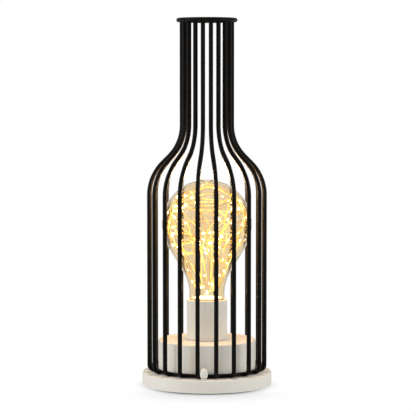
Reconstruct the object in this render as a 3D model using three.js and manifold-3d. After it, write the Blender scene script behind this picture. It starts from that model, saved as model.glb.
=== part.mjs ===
// Bottle-shaped wire lamp: a cage of bent wires round a clear globe bulb with a wound string of
// lights, on a white base that holds three cells, a slide switch and a hinged battery door.
// Millimetres, +Z up, origin on the floor under the lamp's axis, front towards -Y.
import * as THREE from "three";
import { mergeVertices } from "three/addons/utils/BufferGeometryUtils.js";
import Module from "manifold-3d";

const wasm = await Module();
wasm.setup();

// Sizes that drive the rest
const fit = 0.3; // clear space between neighbouring pieces
const cellDiameter = 14.5; // standard AA cell
const cellLength = 50.5;
const wireDiameter = 3.7;
const wireCount = 20;
const neckRadius = 22.4; // axis of the lamp to the middle of a neck wire
const neckLength = 90.6;
const bodyTop = 170; // height at which the straight body wires start to turn in
const shoulderAngle = Math.PI / 4;
const shoulderBendShare = 0.78; // share of the shoulder's width that the two bends take
const footBend = 4.55; // middle line of the turned-in foot
const topRingWire = 3.8;
const topRingOverhang = 2.8;
const lowerRingWire = 3.2;
const globeRadius = 40;
const globeNeckRadius = 15.75;
const globeWall = 1.5;
const globeConeAngle = THREE.MathUtils.degToRad(31);
const globeNeckBend = 40;
const housingHeight = 28.4;
const socketHeight = 35.4;
const baseLip = 4.1; // base disc past the outside of the cage

// Heights in the base, from the floor up
const padHeight = 2;
const skirtBottom = 0.8;
const coverThickness = 2;
const switchHeight = 3.4;
const boardThickness = 1;
const baseWall = 2.4;
const coverBottom = padHeight + fit;
const coverTop = coverBottom + coverThickness;
const switchBottom = coverTop + fit;
const switchTop = switchBottom + switchHeight;
const boardBottom = switchTop + fit;
const boardTop = boardBottom + boardThickness;
const baseCeiling = boardTop + fit;
const baseTop = baseCeiling + baseWall;
const housingBottom = baseTop + fit;
const housingTop = housingBottom + housingHeight;

// Battery bay, from the cells outwards
const cellPlay = 0.5;
const cellRadius = cellDiameter / 2;
const cellPitch = cellDiameter + cellPlay;
const cellAxisZ = coverTop + cellPlay + cellRadius;
const scallopRadius = cellRadius + fit;
const trayWall = 1.6;
const trayPlay = 0.8; // round the tray in the base's hole
const contactThickness = 0.5;
const springLength = 4.5;
const trayBottom = coverTop + fit;
const trayTop = cellAxisZ + scallopRadius + trayWall;
const bayHalfX = cellPitch + scallopRadius;
const bayHalfY = (cellLength + springLength + 2 * contactThickness + 4 * fit) / 2;
const trayHalfX = bayHalfX + trayWall;
const trayHalfY = bayHalfY + trayWall;

// Drum, rings, cage and base disc, each round the one before
const housingWall = 2.2;
const trayRoom = 2.5; // from the tray's corners to the drum's wall
const housingInnerRadius = Math.hypot(trayHalfX, trayHalfY) + trayRoom;
const housingRadius = housingInnerRadius + housingWall;
const wireRadius = wireDiameter / 2;
const lowerRingRadius = housingRadius + fit + lowerRingWire / 2;
const lowerRingZ = baseTop + fit + wireRadius; // level with the feet, which rest on the base
const footTipRadius = lowerRingRadius + lowerRingWire / 2 + fit;
const bodyRadius = footTipRadius + footBend;
const baseRadius = bodyRadius + wireRadius + baseLip;
const skirtRadius = baseRadius - baseWall; // inside of the base's skirt
const coverRadius = skirtRadius - fit;

// Shoulder: two equal bends with a straight slope between them
const shoulderWidth = bodyRadius - neckRadius;
const bendWidth = 1 - Math.cos(shoulderAngle);
const shoulderBend = (shoulderBendShare * shoulderWidth) / (2 * bendWidth);
const slopeLength = (shoulderWidth - 2 * shoulderBend * bendWidth) / Math.sin(shoulderAngle);
const bendHeight = shoulderBend * Math.sin(shoulderAngle);
const neckBottom = bodyTop + 2 * bendHeight + slopeLength * Math.cos(shoulderAngle);
const wireTop = neckBottom + neckLength;
const topRingRadius = neckRadius + topRingOverhang;
const ringReach = topRingWire / 2 + fit; // wire tip to the middle of the top ring
const topRingZ = wireTop + Math.sqrt(ringReach ** 2 - (topRingOverhang - wireRadius) ** 2);

// Socket, plug and globe on the drum
const socketWall = 1.95;
const plugDepth = 18.4; // from the socket's rim to the ledge that the plug stands on
const plugFlange = 2.7;
const plugRise = 1.6; // plug's top past the socket's rim
const plugRoof = 3;
const globeNeckRise = 4.3; // straight neck past the socket's rim
const socketBore = globeNeckRadius + fit;
const socketRadius = socketBore + socketWall;
const socketBottom = housingTop + fit;
const socketTop = socketBottom + socketHeight;
const plugSeat = socketTop - plugDepth;
const plugBottom = plugSeat + fit;
const plugFlangeTop = plugBottom + plugFlange;
const plugTop = socketTop + plugRise;
const plugFloor = plugTop - plugRoof;
const spigotRadius = 9; // threaded pipe under the socket
const spigotBore = 6.5;
const spigotEnd = 0.5; // thread that shows under the nut
const nutHeight = 4.5;
const nutReach = 6; // corners of the nut past the thread
const housingCeiling = housingTop - baseWall;
const nutTop = housingCeiling - fit;
const globeBottom = plugFlangeTop + fit;
const globeNeckTop = socketTop + globeNeckRise;
const neckBendHeight = globeNeckBend * Math.sin(globeConeAngle);
const coneBottomRadius = globeNeckRadius + globeNeckBend * (1 - Math.cos(globeConeAngle));
const coneTopRadius = globeRadius * Math.cos(globeConeAngle);
const coneHeight = (coneTopRadius - coneBottomRadius) / Math.tan(globeConeAngle);
const globeConeTop = globeNeckTop + neckBendHeight + coneHeight;
const globeCentreZ = globeConeTop + globeRadius * Math.sin(globeConeAngle);

// Fasteners
const screwShank = 1.2;
const screwHole = screwShank + fit;
const bossRadius = 3.2;
const bossSink = 1; // bosses run this far into the wall that carries them
const tipRoom = 0.8; // free space past a screw's tip
const housingScrewRing = housingInnerRadius - 3;
const housingScrewAngle = THREE.MathUtils.degToRad(25);
const housingScrewReach = 9; // thread in the drum's bosses
const coverScrewRing = coverRadius - 6.8;
const padRadius = 5;
const padRing = coverRadius - padRadius - 0.5;
const clipThickness = 1;
const clipWidth = 4.6;
const hookAngle = 115; // degrees that the hook goes up round the ring
const domeRadius = 3.4; // white acorn-shaped screw head, at its widest
const domeFootRadius = 2.4; // where it stands on the clip
const domeHeight = 8.6;
const domeShoulder = 3.4; // height of its widest place
const domeScrewReach = 3; // thread under the base's top plate
const clipTop = baseTop + fit + clipThickness;
const clipScrewRing = footTipRadius + clipThickness + domeRadius + fit;

// Switch and board beside the battery bay
const wireWay = 6.8; // room for the leads between the tray and the base
const baseHoleHalfX = trayHalfX + wireWay;
const boardHalfX = 7;
const boardHalfY = 8.5;
const postRadius = 1.2; // posts under the board
const boardInset = 2; // from the hole in the base to the board
const boardX = baseHoleHalfX + boardHalfX + boardInset;
const switchTravel = 4;
const switchRest = -switchTravel / 2; // knob pushed to "on"

// Materials
const finish = (color, roughness, metalness) =>
  new THREE.MeshStandardMaterial({ color, roughness, metalness });
const materials = {
  blackCoat: finish("#1b1817", 0.5, 0.3),
  whitePlastic: finish("#e6e2d8", 0.6, 0),
  clearPlastic: finish("#f3e3bd", 0.08, 0),
  litString: finish("#ffc14d", 0.4, 0.2),
  cellJacket: finish("#46545e", 0.35, 0.3),
  springSteel: finish("#c9c8c4", 0.3, 1),
  zincSteel: finish("#b3b1ab", 0.4, 1),
  boardGreen: finish("#2f6b45", 0.5, 0),
  blackPlastic: finish("#222222", 0.5, 0),
  foam: finish("#3a3a3a", 0.95, 0),
};

// Points and arcs of a profile
const at = (x, y) => new THREE.Vector2(x, y);

function arc(centreX, centreY, radius, fromDegrees, toDegrees, steps) {
  const points = [];
  for (let step = 0; step <= steps; step += 1) {
    const degrees = fromDegrees + ((toDegrees - fromDegrees) * step) / steps;
    const angle = THREE.MathUtils.degToRad(degrees);
    points.push(at(centreX + radius * Math.cos(angle), centreY + radius * Math.sin(angle)));
  }
  return points;
}

// A closed body for the booleans, and back to a geometry
function bodyOf(geometry) {
  const bare = new THREE.BufferGeometry();
  bare.setAttribute("position", geometry.getAttribute("position"));
  bare.setIndex(geometry.index);
  const welded = mergeVertices(bare, 1e-4);
  const mesh = new wasm.Mesh({
    numProp: 3,
    vertProperties: welded.getAttribute("position").array,
    triVerts: new Uint32Array(welded.index.array),
  });
  return new wasm.Manifold(mesh);
}

function geometryOf(body) {
  const mesh = body.getMesh();
  const geometry = new THREE.BufferGeometry();
  geometry.setAttribute("position", new THREE.BufferAttribute(mesh.vertProperties, 3));
  geometry.setIndex(new THREE.BufferAttribute(mesh.triVerts, 1));
  geometry.computeVertexNormals();
  return geometry;
}

// Basic bodies: turned about Z, upright rod, rod along X, box between two corners, box round a point
const turned = (profile, segments) => new THREE.LatheGeometry(profile, segments).rotateX(Math.PI / 2);

function rod(x, y, bottom, top, radius, sides = 12) {
  const geometry = new THREE.CylinderGeometry(radius, radius, top - bottom, sides);
  geometry.rotateX(Math.PI / 2);
  geometry.translate(x, y, (bottom + top) / 2);
  return bodyOf(geometry);
}

function rodAlongX(x, y, z, length, radius, sides = 12) {
  const geometry = new THREE.CylinderGeometry(radius, radius, length, sides);
  geometry.rotateZ(Math.PI / 2);
  geometry.translate(x, y, z);
  return bodyOf(geometry);
}

function box(left, right, front, back, bottom, top) {
  const geometry = new THREE.BoxGeometry(right - left, back - front, top - bottom);
  geometry.translate((left + right) / 2, (front + back) / 2, (bottom + top) / 2);
  return bodyOf(geometry);
}

function boxRound(x, y, halfX, halfY, bottom, top) {
  return box(x - halfX, x + halfX, y - halfY, y + halfY, bottom, top);
}

const onCircle = (radius, angle) => [radius * Math.cos(angle), radius * Math.sin(angle)];

// The four corners of a rectangle that is inscribed in a circle
const fourCorners = (angle) => [angle, Math.PI - angle, Math.PI + angle, -angle];

// A tube along a path is extruded through the path's own points, so bends get more of them
class StationPath extends THREE.Curve {
  constructor(stations) {
    super();
    this.stations = stations;
  }

  getPointAt(share) {
    return this.stations[Math.round(share * (this.stations.length - 1))].clone();
  }

  getTangentAt(share) {
    const last = this.stations.length - 1;
    const index = Math.round(share * last);
    const before = this.stations[Math.max(index - 1, 0)];
    const after = this.stations[Math.min(index + 1, last)];
    return after.clone().sub(before).normalize();
  }
}

function roundTube(stations, radius) {
  const section = new THREE.Shape();
  section.absarc(0, 0, radius, 0, 2 * Math.PI);
  return new THREE.ExtrudeGeometry(section, {
    steps: stations.length - 1,
    curveSegments: 4,
    extrudePath: new StationPath(stations),
  });
}

// A wound tube may change its thickness along the way: rings of points joined by two triangles a side
function woundTube(stations, radii, sides) {
  const path = new StationPath(stations);
  const last = stations.length - 1;
  const frames = path.computeFrenetFrames(last);
  const positions = [];
  const triangles = [];
  for (let ring = 0; ring <= last; ring += 1) {
    for (let side = 0; side < sides; side += 1) {
      const angle = (2 * Math.PI * side) / sides;
      const point = stations[ring].clone();
      point.addScaledVector(frames.normals[ring], radii[ring] * Math.cos(angle));
      point.addScaledVector(frames.binormals[ring], radii[ring] * Math.sin(angle));
      positions.push(point.x, point.y, point.z);
    }
  }
  for (let ring = 0; ring < last; ring += 1) {
    for (let side = 0; side < sides; side += 1) {
      const next = (side + 1) % sides;
      const near = ring * sides;
      const far = near + sides;
      triangles.push(near + side, near + next, far + next);
      triangles.push(near + side, far + next, far + side);
    }
  }
  for (let side = 1; side < sides - 1; side += 1) {
    triangles.push(0, side + 1, side);
    triangles.push(last * sides, last * sides + side, last * sides + side + 1);
  }
  const geometry = new THREE.BufferGeometry();
  geometry.setAttribute("position", new THREE.Float32BufferAttribute(positions, 3));
  geometry.setIndex(triangles);
  geometry.computeVertexNormals();
  return geometry;
}

// Named pieces in named groups
const lamp = new THREE.Group();
lamp.name = "wire_bottle_lamp";

function group(name) {
  const made = new THREE.Group();
  made.name = name;
  lamp.add(made);
  return made;
}

function add(parent, name, geometry, material) {
  const mesh = new THREE.Mesh(geometry, material.clone());
  mesh.name = name;
  parent.add(mesh);
  return mesh;
}

// Cage: one wire in the XZ plane, from its top end to the tip of its turned-in foot
function wireStations() {
  const slope = THREE.MathUtils.radToDeg(shoulderAngle);
  const footTop = lowerRingZ + footBend;
  const profile = [
    at(neckRadius, wireTop),
    ...arc(neckRadius + shoulderBend, neckBottom, shoulderBend, 180, 180 + slope, 5),
    ...arc(bodyRadius - shoulderBend, bodyTop, shoulderBend, slope, 0, 5),
    ...arc(bodyRadius - footBend, footTop, footBend, 0, -90, 3),
  ];
  return profile.map((point) => new THREE.Vector3(point.x, 0, point.y));
}

function addCage() {
  const cage = group("cage");
  const wire = roundTube(wireStations(), wireRadius);
  const pitch = (2 * Math.PI) / wireCount;
  for (let index = 0; index < wireCount; index += 1) {
    const name = `cage_wire_${String(index + 1).padStart(2, "0")}`;
    const mesh = add(cage, name, wire.clone(), materials.blackCoat);
    mesh.rotation.z = -Math.PI / 2 + (index + 0.5) * pitch;
  }
  const topRing = new THREE.TorusGeometry(topRingRadius, topRingWire / 2, 8, 36);
  add(cage, "cage_top_ring", topRing.translate(0, 0, topRingZ), materials.blackCoat);
  const lowerRing = new THREE.TorusGeometry(lowerRingRadius, lowerRingWire / 2, 8, 36);
  add(cage, "cage_lower_ring", lowerRing.translate(0, 0, lowerRingZ), materials.blackCoat);
}

// Clips: a white strip hooked over the lower ring, held down on the base by an acorn-shaped screw
function clipGeometry() {
  const hookInside = lowerRingWire / 2 + fit;
  const hookOutside = hookInside + clipThickness;
  const footEnd = clipScrewRing + domeFootRadius;
  const outline = [
    ...arc(lowerRingRadius, lowerRingZ, hookInside, hookAngle, 0, 6),
    at(footTipRadius, baseTop + fit),
    at(footEnd, baseTop + fit),
    at(footEnd, clipTop),
    at(lowerRingRadius + hookOutside, clipTop),
    ...arc(lowerRingRadius, lowerRingZ, hookOutside, 0, hookAngle, 6),
  ];
  const strip = new THREE.ExtrudeGeometry(new THREE.Shape(outline), {
    depth: clipWidth,
    bevelEnabled: false,
  });
  strip.rotateX(Math.PI / 2);
  strip.translate(0, clipWidth / 2, 0);
  const hole = rod(clipScrewRing, 0, baseTop, clipTop + 1, screwHole);
  return geometryOf(bodyOf(strip).subtract(hole));
}

function domeScrewGeometry() {
  const bottom = clipTop + fit;
  const tip = baseCeiling - domeScrewReach;
  const widest = bottom + domeShoulder;
  const swell = domeRadius - domeFootRadius;
  const domeRise = domeHeight - domeShoulder;
  const swollen = ({ x, y }) => at(domeFootRadius + swell * x, widest + domeShoulder * y);
  const below = arc(0, 0, 1, -90, 0, 3).map(swollen);
  const above = arc(0, 0, 1, 0, 90, 5).map(({ x, y }) => at(domeRadius * x, widest + domeRise * y));
  const profile = [at(0, tip), at(screwShank, tip), at(screwShank, bottom), ...below, ...above.slice(1)];
  profile[profile.length - 1].x = 0;
  return turned(profile, 14).translate(clipScrewRing, 0, 0);
}

// Both clips sit in a gap between two wires, a little to the left of its middle as seen from outside
const clipShift = THREE.MathUtils.degToRad(-2.9);
const clipTurns = { front: 0, back: wireCount / 2 };
const clipAngle = (gaps) => -Math.PI / 2 + clipShift + (gaps * 2 * Math.PI) / wireCount;

function addClips() {
  const clips = group("cage_clips");
  for (const [place, gaps] of Object.entries(clipTurns)) {
    const clip = add(clips, `cage_clip_${place}`, clipGeometry(), materials.whitePlastic);
    const screw = add(clips, `clip_screw_${place}`, domeScrewGeometry(), materials.whitePlastic);
    clip.rotation.z = clipAngle(gaps);
    screw.rotation.z = clipAngle(gaps);
  }
}

// Base disc: a shallow dish upside down, with a hole for the tray and bosses for the screws
function baseShellGeometry() {
  const edge = 1.2;
  const foot = 0.5;
  const profile = [
    at(0, baseCeiling),
    at(skirtRadius, baseCeiling),
    at(skirtRadius, skirtBottom),
    at(baseRadius - foot, skirtBottom),
    at(baseRadius, skirtBottom + foot),
    ...arc(baseRadius - edge, baseTop - edge, edge, 0, 90, 3),
    at(0, baseTop),
  ];
  let shell = bodyOf(turned(profile, 48));
  const holeHalfY = trayHalfY + trayPlay;
  const drumLedge = 1; // the hole stays this far inside the drum
  const hole = box(-baseHoleHalfX, baseHoleHalfX, -holeHalfY, holeHalfY, coverTop, housingBottom);
  const underDrum = rod(0, 0, coverTop, housingBottom, housingInnerRadius - drumLedge, 48);
  shell = shell.subtract(hole.intersect(underDrum));
  const bosses = fourCorners(Math.PI / 4).map((angle) => onCircle(coverScrewRing, angle));
  for (const gaps of Object.values(clipTurns)) {
    bosses.push(onCircle(clipScrewRing, clipAngle(gaps)));
  }
  for (const [x, y] of bosses) {
    shell = shell.add(rod(x, y, coverTop + fit, baseCeiling + bossSink, bossRadius));
  }
  for (const gaps of Object.values(clipTurns)) {
    const [x, y] = onCircle(clipScrewRing, clipAngle(gaps));
    const bottom = baseCeiling - domeScrewReach - 0.5;
    shell = shell.subtract(rod(x, y, bottom, baseTop + 1, screwHole));
  }
  for (const angle of fourCorners(Math.PI / 4)) {
    const [x, y] = onCircle(coverScrewRing, angle);
    shell = shell.subtract(rod(x, y, coverTop, baseCeiling, screwHole, 8));
  }
  for (const angle of fourCorners(housingScrewAngle)) {
    const [x, y] = onCircle(housingScrewRing, angle);
    shell = shell.subtract(rod(x, y, coverTop, housingBottom, screwHole, 8));
  }
  return geometryOf(shell);
}

// Drum on the base: a cup upside down, with four screw bosses on its wall
function housingGeometry() {
  const edge = 1.2;
  const profile = [
    at(0, housingCeiling),
    at(housingInnerRadius, housingCeiling),
    at(housingInnerRadius, housingBottom),
    at(housingRadius, housingBottom),
    ...arc(housingRadius - edge, housingTop - edge, edge, 0, 90, 3),
    at(0, housingTop),
  ];
  const holeTop = housingBottom + housingScrewReach + tipRoom;
  const bossTop = holeTop + bossSink;
  let shell = bodyOf(turned(profile, 48));
  shell = shell.subtract(rod(0, 0, housingBottom, housingTop + 1, spigotRadius + fit, 24));
  for (const angle of fourCorners(housingScrewAngle)) {
    const [x, y] = onCircle(housingScrewRing, angle);
    shell = shell.add(rod(x, y, housingBottom, bossTop, bossRadius));
    shell = shell.subtract(rod(x, y, baseTop, holeTop, screwHole, 8));
  }
  return geometryOf(shell);
}

// Socket tube with a ledge for the plug and a threaded pipe through the drum
function socketGeometry() {
  const rim = 0.6;
  const pipeBottom = nutTop - nutHeight - spigotEnd;
  const ledge = 3;
  const floor = socketBottom + baseWall;
  const profile = [
    at(spigotRadius, pipeBottom),
    at(spigotRadius, socketBottom),
    at(socketRadius, socketBottom),
    at(socketRadius, socketTop - rim),
    at(socketRadius - rim, socketTop),
    at(socketBore, socketTop),
    at(socketBore, plugSeat),
    at(socketBore - ledge, plugSeat),
    at(socketBore - ledge, floor),
    at(spigotBore, floor),
    at(spigotBore, pipeBottom),
    at(spigotRadius, pipeBottom),
  ];
  return turned(profile, 32);
}

function nutGeometry() {
  const bottom = nutTop - nutHeight;
  const hexagon = rod(0, 0, bottom, nutTop, spigotRadius + nutReach, 6);
  return geometryOf(hexagon.subtract(rod(0, 0, bottom - 1, nutTop + 1, spigotRadius + fit, 24)));
}

// Plug: a flanged cup upside down that fills the globe's neck and lets the string through
const stringRadius = 0.35;

function plugGeometry() {
  const cup = globeNeckRadius - globeWall - fit;
  const wall = 3;
  const bevel = 0.6;
  const bore = stringRadius + fit;
  const profile = [
    at(bore, plugFloor),
    at(cup - wall, plugFloor),
    at(cup - wall, plugBottom),
    at(globeNeckRadius, plugBottom),
    at(globeNeckRadius, plugFlangeTop),
    at(cup, plugFlangeTop),
    at(cup, plugTop - bevel),
    at(cup - bevel, plugTop),
    at(bore, plugTop),
    at(bore, plugFloor),
  ];
  return turned(profile, 24);
}

// Globe: ball, tangent cone and bent-in neck, as a shell that is open at the neck's end
function globeGeometry() {
  const cone = THREE.MathUtils.radToDeg(globeConeAngle);
  const outline = (inset, bendSteps, ballSteps) => [
    at(globeNeckRadius - inset, globeBottom),
    ...arc(globeNeckRadius + globeNeckBend, globeNeckTop, globeNeckBend + inset, 180, 180 - cone, bendSteps),
    ...arc(0, globeCentreZ, globeRadius - inset, -cone, 90, ballSteps),
  ];
  const outside = outline(0, 3, 9);
  const inside = outline(globeWall, 3, 7).reverse();
  return turned([...outside, ...inside, outside[0]], 32);
}

function addLampHead() {
  const head = group("lamp_head");
  add(head, "lamp_socket", socketGeometry(), materials.whitePlastic);
  add(head, "socket_nut", nutGeometry(), materials.whitePlastic);
  add(head, "bulb_plug", plugGeometry(), materials.whitePlastic);
  add(head, "bulb_globe", globeGeometry(), materials.clearPlastic);
}

// String of lights: from the board up the axis into the globe, then wound from the inside out.
// Each turn lies one step farther from the globe's middle and tips another way, like a ball of yarn.
const windingTurns = 12;
const windingInner = 14;
const windingRoom = 3.5; // from the outermost turn to the globe's wall
const windingOuter = globeRadius - globeWall - windingRoom;
const windingStep = (windingOuter - windingInner) / windingTurns;
const windingSteps = 16; // points a turn
const windingTilt = 0.48; // middle tilt of a turn, in radians
const windingTiltSwing = 0.3;
const windingTiltWaves = 0.31; // swings of the tilt a turn
const windingDrift = 8 / 7; // tilt waves a turn, so that the tilt goes round the axis
const beadEvery = 10; // points from one light to the next
const beadRadius = 0.95;
const beadLength = 3.6;

function windingPoint(turn) {
  const azimuth = 2 * Math.PI * turn;
  const reach = windingInner + windingStep * turn;
  const tilt = windingTilt + windingTiltSwing * Math.sin(azimuth * windingTiltWaves);
  const latitude = -tilt * Math.cos(azimuth * windingDrift);
  const flat = reach * Math.cos(latitude);
  const height = globeCentreZ + reach * Math.sin(latitude);
  return new THREE.Vector3(flat * Math.cos(azimuth), flat * Math.sin(azimuth), height);
}

// Turns and thicknesses along the winding; a light is a drop moulded round the wire
function windingStations() {
  const stations = [];
  const drop = [
    [-0.5, stringRadius],
    [-0.3, beadRadius * 0.8],
    [0, beadRadius],
    [0.3, beadRadius * 0.8],
    [0.5, stringRadius],
  ];
  for (let step = 0; step <= windingTurns * windingSteps; step += 1) {
    const turn = step / windingSteps;
    const turnLength = 2 * Math.PI * (windingInner + windingStep * turn);
    const parts = step % beadEvery === beadEvery / 2 ? drop : [[0, stringRadius]];
    for (const [along, radius] of parts) {
      stations.push({ turn: turn + (along * beadLength) / turnLength, radius });
    }
  }
  return stations;
}

// Least clear space between stretches of the string that are not neighbours along it
function leastGap(stations, radii) {
  const parts = 4; // measured points on each straight stretch
  const neighbourLength = 10;
  const points = [];
  let along = 0;
  for (let index = 1; index < stations.length; index += 1) {
    const stretch = stations[index - 1].distanceTo(stations[index]);
    for (let part = 0; part < parts; part += 1) {
      const share = part / parts;
      const place = stations[index - 1].clone().lerp(stations[index], share);
      const radius = THREE.MathUtils.lerp(radii[index - 1], radii[index], share);
      points.push({ place, radius, along: along + share * stretch });
    }
    along += stretch;
  }
  let least = Infinity;
  for (const one of points) {
    for (const other of points) {
      if (other.along - one.along > neighbourLength) {
        const gap = one.place.distanceTo(other.place) - one.radius - other.radius;
        least = Math.min(least, gap);
      }
    }
  }
  return least;
}

function stringGeometry() {
  const point = (x, z) => new THREE.Vector3(x, 0, z);
  const boardEdge = boardX - boardHalfX - fit;
  const boardMiddle = (boardBottom + boardTop) / 2;
  const riseX = (trayHalfX + baseHoleHalfX) / 2;
  const riseTop = housingBottom + 4;
  const overTray = trayTop + 5; // the lead passes over the tray to the axis
  const fromBoard = new THREE.CubicBezierCurve3(
    point(boardEdge - 2 * stringRadius, boardMiddle),
    point(riseX, boardMiddle),
    point(riseX, boardMiddle),
    point(riseX, riseTop),
  );
  const toAxis = new THREE.CubicBezierCurve3(
    point(riseX, riseTop),
    point(riseX, overTray + 4),
    point(0, overTray),
    point(0, housingTop),
  );
  const start = windingPoint(0);
  const heading = windingPoint(0.01).sub(start).normalize();
  const intoGlobe = new THREE.CubicBezierCurve3(
    point(0, plugTop + 4),
    point(0, globeCentreZ - 2),
    point(0, globeCentreZ).lerp(start, 0.9).addScaledVector(heading, -windingInner * 0.4),
    start,
  );
  const winding = windingStations();
  const lead = [
    point(boardEdge, boardMiddle),
    ...fromBoard.getPoints(6),
    ...toAxis.getPoints(8).slice(1),
    ...intoGlobe.getPoints(8).slice(0, -1),
  ];
  const stations = [...lead, ...winding.map(({ turn }) => windingPoint(turn))];
  const radii = [...lead.map(() => stringRadius), ...winding.map(({ radius }) => radius)];
  const beforeEnd = stations[stations.length - 2];
  const end = stations[stations.length - 1];
  const lastWay = end.clone().sub(beforeEnd).setLength(2 * stringRadius);
  stations.push(end.clone().add(lastWay));
  radii.push(stringRadius);
  console.log(`light_string: least gap to itself ${leastGap(stations, radii).toFixed(2)} mm`);
  return woundTube(stations, radii, 5);
}

// Battery tray: a section with a scallop over each cell, drawn along Y and closed at both ends,
// with a pocket for the contact plates at each end
const contactMargin = 5; // from a cell's axis to the edge of its plate

function trayGeometry() {
  const cusp = THREE.MathUtils.radToDeg(Math.acos(cellPitch / 2 / scallopRadius));
  const outline = [
    at(-trayHalfX, trayBottom),
    at(-bayHalfX, trayBottom),
    ...arc(-cellPitch, cellAxisZ, scallopRadius, 180, cusp, 8),
    ...arc(0, cellAxisZ, scallopRadius, 180 - cusp, cusp, 8).slice(1),
    ...arc(cellPitch, cellAxisZ, scallopRadius, 180 - cusp, 0, 8).slice(1),
    at(bayHalfX, trayBottom),
    at(trayHalfX, trayBottom),
    at(trayHalfX, trayTop),
    at(-trayHalfX, trayTop),
  ];
  const section = new THREE.ExtrudeGeometry(new THREE.Shape(outline), {
    depth: 2 * trayHalfY,
    bevelEnabled: false,
  });
  section.rotateX(Math.PI / 2);
  section.translate(0, trayHalfY, 0);
  const pocket = bayHalfY - contactThickness - 2 * fit;
  const pocketTop = cellAxisZ + contactMargin + fit;
  let tray = bodyOf(section);
  for (const side of [-1, 1]) {
    const [pocketFront, pocketBack] = side < 0 ? [-bayHalfY, -pocket] : [pocket, bayHalfY];
    const [wallFront, wallBack] = side < 0 ? [-trayHalfY, -bayHalfY] : [bayHalfY, trayHalfY];
    tray = tray.subtract(box(-bayHalfX, bayHalfX, pocketFront, pocketBack, trayBottom, pocketTop));
    tray = tray.add(box(-trayHalfX, trayHalfX, wallFront, wallBack, trayBottom, trayTop));
  }
  return geometryOf(tray);
}

// Cells lie head to tail; even ones point to the front
const cellX = (cell) => (cell - 1) * cellPitch;
const cellSide = (cell) => (cell % 2 === 0 ? -1 : 1);

function cellGeometry(cell) {
  const bevel = 0.3;
  const buttonHeight = 1.2;
  const body = cellLength - buttonHeight;
  const button = 2.75;
  const profile = [
    at(0, 0),
    at(cellRadius - bevel, 0),
    at(cellRadius, bevel),
    at(cellRadius, body - bevel),
    at(cellRadius - bevel, body),
    at(button, body),
    at(button, cellLength),
    at(0, cellLength),
  ];
  const flatEnd = cellLength - (bayHalfY - contactThickness - 2 * fit);
  const geometry = new THREE.LatheGeometry(profile, 14);
  geometry.translate(0, -flatEnd, 0);
  geometry.rotateZ(cellSide(cell) < 0 ? Math.PI : 0);
  return geometry.translate(cellX(cell), 0, cellAxisZ);
}

// Contacts: a plate on the tray's end wall, with a tapered coil where it meets a cell's flat end
function springBody(cell, side) {
  const wire = 0.4;
  const turns = 3;
  const steps = 8;
  const wide = 4.2;
  const narrow = 2.4;
  const plateFace = side * (bayHalfY - fit - contactThickness / 2);
  const reach = springLength + contactThickness / 2 - wire;
  const stations = [];
  for (let step = 0; step <= turns * steps; step += 1) {
    const share = step / (turns * steps);
    const angle = (2 * Math.PI * step) / steps;
    const radius = wide + (narrow - wide) * share;
    const y = plateFace - side * reach * share;
    const x = cellX(cell) + radius * Math.cos(angle);
    stations.push(new THREE.Vector3(x, y, cellAxisZ + radius * Math.sin(angle)));
  }
  return bodyOf(woundTube(stations, stations.map(() => wire), 5));
}

function contactGeometry(side, cells, springCells) {
  const outer = bayHalfY - fit;
  const inner = outer - contactThickness;
  const left = cellX(cells[0]) - contactMargin;
  const right = cellX(cells[cells.length - 1]) + contactMargin;
  const bottom = cellAxisZ - contactMargin;
  const top = cellAxisZ + contactMargin;
  const [front, back] = side < 0 ? [-outer, -inner] : [inner, outer];
  let contact = box(left, right, front, back, bottom, top);
  for (const cell of springCells) {
    contact = contact.add(springBody(cell, side));
  }
  return geometryOf(contact);
}

function addPower() {
  const power = group("power");
  add(power, "battery_tray", trayGeometry(), materials.blackPlastic);
  for (const cell of [0, 1, 2]) {
    add(power, `battery_${cell + 1}`, cellGeometry(cell), materials.cellJacket);
  }
  add(power, "contact_positive", contactGeometry(-1, [0], []), materials.springSteel);
  add(power, "contact_bridge_1", contactGeometry(1, [0, 1], [0]), materials.springSteel);
  add(power, "contact_bridge_2", contactGeometry(-1, [1, 2], [1]), materials.springSteel);
  add(power, "contact_negative", contactGeometry(1, [2], [2]), materials.springSteel);
  add(power, "light_string", stringGeometry(), materials.litString);
}

// Hinge of the battery door: five knuckles on one pin, in the plane of the cover's underside
const knuckleRadius = 1.5;
const knuckleLength = 8;
const knucklePlay = 0.4;
const pinRadius = 0.6;
const hingeSetback = 2.8; // from the tray's end to the pin
const hingeY = trayHalfY + hingeSetback;
const hingeZ = coverBottom;
const doorGap = 0.4;
const doorThickness = coverThickness - fit;
const doorHalfX = trayHalfX - fit;
const doorLap = 1.6; // front edge of the door past the tray
const doorFront = -(trayHalfY + doorLap);
const doorBack = hingeY - pinRadius;
const knuckleX = (index) => (index - 2) * (knuckleLength + knucklePlay);
const coverKnuckles = [0, 2, 4];
const doorKnuckles = [1, 3];
const pinLength = 5 * knuckleLength + 4 * knucklePlay;
const latchHalfX = 5;

function withKnuckles(plate, own, others) {
  const room = knuckleRadius + fit;
  const halfRoom = knuckleLength / 2 + knucklePlay;
  let made = plate;
  for (const index of others) {
    const x = knuckleX(index);
    const cut = box(x - halfRoom, x + halfRoom, hingeY - room, hingeY + room, 0, coverTop + 1);
    made = made.subtract(cut);
  }
  for (const index of own) {
    made = made.add(rodAlongX(knuckleX(index), hingeY, hingeZ, knuckleLength, knuckleRadius));
  }
  const bore = rodAlongX(0, hingeY, hingeZ, pinLength + 2 * fit, pinRadius + fit, 10);
  return made.subtract(bore);
}

function doorGeometry() {
  const top = coverBottom + doorThickness;
  const plate = box(-doorHalfX, doorHalfX, doorFront, doorBack, coverBottom, top);
  const latchFront = doorFront + fit;
  const latchBack = doorFront + doorLap - 0.4;
  const latchTop = top + 2.9;
  const latch = box(-latchHalfX, latchHalfX, latchFront, latchBack, coverBottom + 1, latchTop);
  return geometryOf(withKnuckles(plate.add(latch), doorKnuckles, coverKnuckles));
}

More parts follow.
